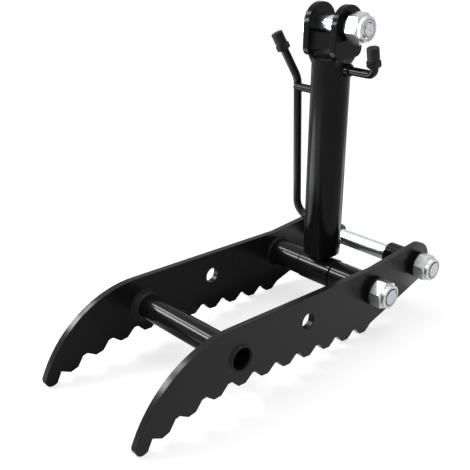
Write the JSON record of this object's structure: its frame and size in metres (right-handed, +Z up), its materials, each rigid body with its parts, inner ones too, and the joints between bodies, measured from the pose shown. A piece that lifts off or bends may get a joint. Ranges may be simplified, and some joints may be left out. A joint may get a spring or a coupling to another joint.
{
  "type": "hydraulic thumb",
  "caption": "Toothed hydraulic thumb for an excavator: side plates joined by a cross tube, with pivot bushes and a double acting cylinder whose clevis pins to the stick.",
  "frame": {"origin": "axis of the rear pivot at the middle of the part's width", "axes": "+X from the rear pivot to the tips, +Y along the pivots to the side with the nuts, +Z up, with the part standing on its tips and rearmost teeth"},
  "size_m": [0.4581, 0.202, 0.3677],
  "materials": {
    "black_coat": "semi-gloss black powder coat",
    "zinc": "bright zinc plate",
    "nylon": "nylon locking ring",
    "chromed_rod": "hard chrome",
    "bright_steel": "turned steel",
    "bronze": "sintered bronze",
    "seal": "polyurethane seal",
    "o_ring": "nitrile rubber",
    "wear_ring": "filled acetal",
    "cap_plastic": "matt dark grey polyethylene"
  },
  "bodies": {
    "thumb_frame": {"side_plate_left": "black_coat", "side_plate_right": "black_coat", "cross_tube": "black_coat", "rear_bush_left": "black_coat", "lower_bush_left": "black_coat", "rear_bush_right": "black_coat", "lower_bush_right": "black_coat", "cross_tube_welds": "black_coat", "bush_welds": "black_coat", "rear_pivot_bolt": "zinc", "rear_pivot_nut": "zinc", "rear_pivot_nut_ring": "nylon", "lower_pivot_bolt": "zinc", "lower_pivot_nut": "zinc", "lower_pivot_nut_ring": "nylon"},
    "rod": {"rod_eye": "black_coat", "rod_eye_bush": "bronze", "piston_rod": "chromed_rod", "piston": "bright_steel", "piston_seal": "seal", "piston_wear_ring": "wear_ring", "piston_nut": "zinc"},
    "barrel": {"barrel_tube": "black_coat", "end_cap": "black_coat", "gland": "bright_steel", "rod_seal": "seal", "rod_wiper": "seal", "gland_o_ring": "o_ring", "clevis_ear_left": "black_coat", "clevis_ear_right": "black_coat", "clevis_welds": "black_coat", "upper_port_boss": "black_coat", "lower_port_boss": "black_coat", "upper_line": "black_coat", "lower_line": "black_coat", "upper_line_fitting": "black_coat", "lower_line_fitting": "black_coat", "line_standoff": "black_coat", "clevis_bolt": "zinc", "clevis_nut": "zinc", "clevis_nut_ring": "nylon"},
    "upper_cap": {"upper_dust_cap": "cap_plastic"},
    "lower_cap": {"lower_dust_cap": "cap_plastic"}
  },
  "joints": [
    {"name": "lower_pivot", "type": "hinge", "parent": "thumb_frame", "child": "rod", "pos_m": [0.08554, 0, -0.00693], "axis": [0, 1, 0], "range_deg": [-62, 78]},
    {"name": "rod_extension", "type": "slide", "parent": "rod", "child": "barrel", "axis": [0.009, 0, 1], "range_m": [0, 0.14]},
    {"name": "upper_cap_pull", "type": "slide", "parent": "barrel", "child": "upper_cap", "axis": [0.2252, 0, 0.9743], "range_m": [0, 0.08]},
    {"name": "lower_cap_pull", "type": "slide", "parent": "barrel", "child": "lower_cap", "axis": [0.3288, -0.3193, 0.8888], "range_m": [0, 0.08]}
  ]
}
